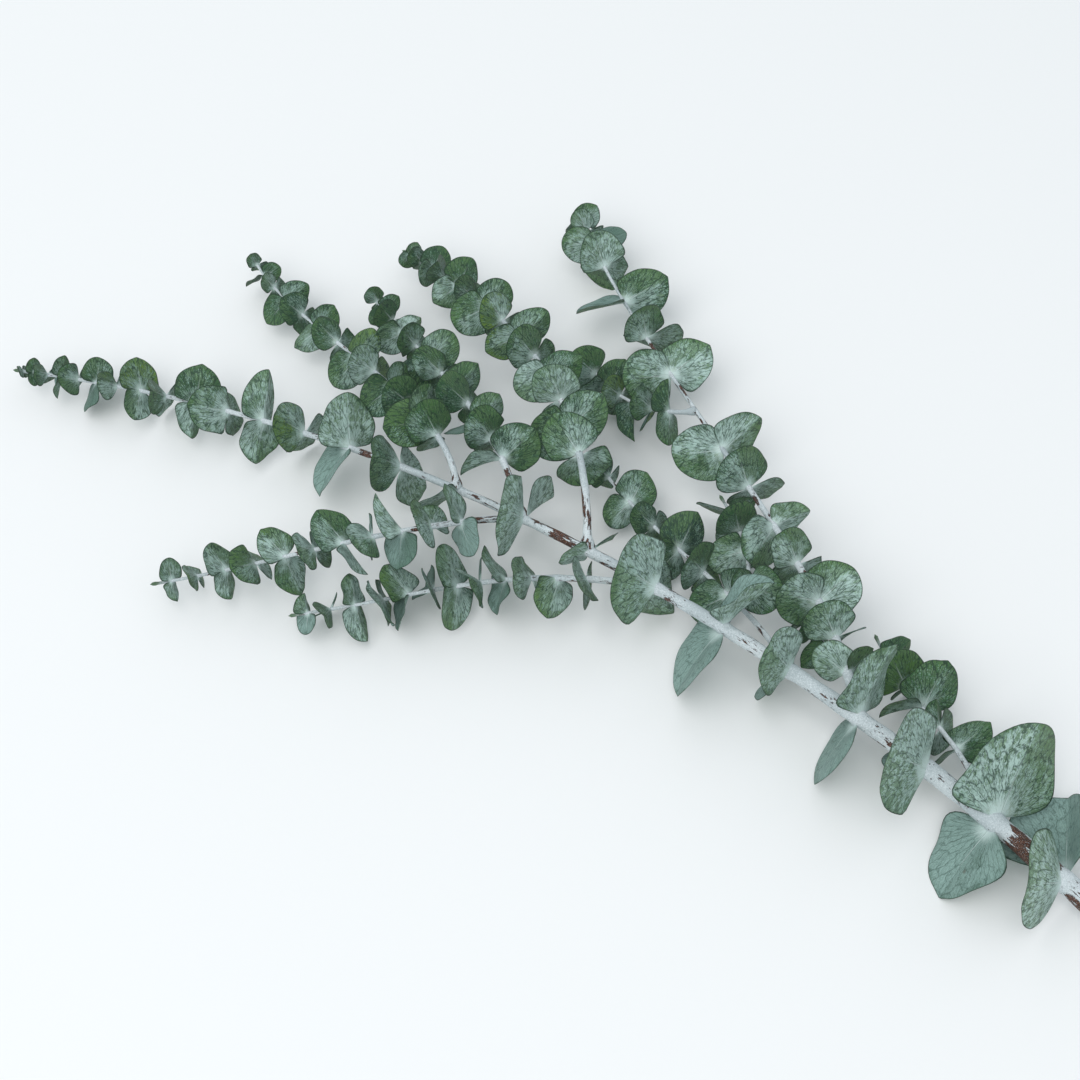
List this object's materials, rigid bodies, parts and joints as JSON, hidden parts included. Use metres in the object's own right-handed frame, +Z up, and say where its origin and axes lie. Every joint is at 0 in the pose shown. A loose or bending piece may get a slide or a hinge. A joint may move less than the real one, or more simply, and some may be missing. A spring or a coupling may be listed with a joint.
{
  "type": "eucalyptus branch",
  "caption": "Cut eucalyptus branch lying on its side: a tapering stem with side shoots, each with round grey-green leaves set straight on it in opposite pairs.",
  "frame": {"origin": "middle of the small flat spot under the cut end of the main stem, on the surface that the branch lies on", "axes": "+X along the main stem from its cut end to its tip, as seen from above; +Z up from the surface; +Y to the side of the two near shoots"},
  "size_m": [0.6041, 0.3075, 0.068],
  "materials": {
    "leaf": "matte",
    "bark": "matte"
  },
  "bodies": {
    "root": {"main_leafy_stem": "leaf", "far_shoot_1": "leaf", "far_shoot_2": "leaf", "far_shoot_2_branchlet": "leaf", "far_shoot_2_twig": "leaf", "far_shoot_3": "leaf", "far_shoot_4": "leaf", "far_shoot_5": "leaf", "far_shoot_6": "leaf", "far_shoot_7": "leaf", "near_shoot_1": "leaf", "near_shoot_2": "leaf"}
  },
  "joints": []
}
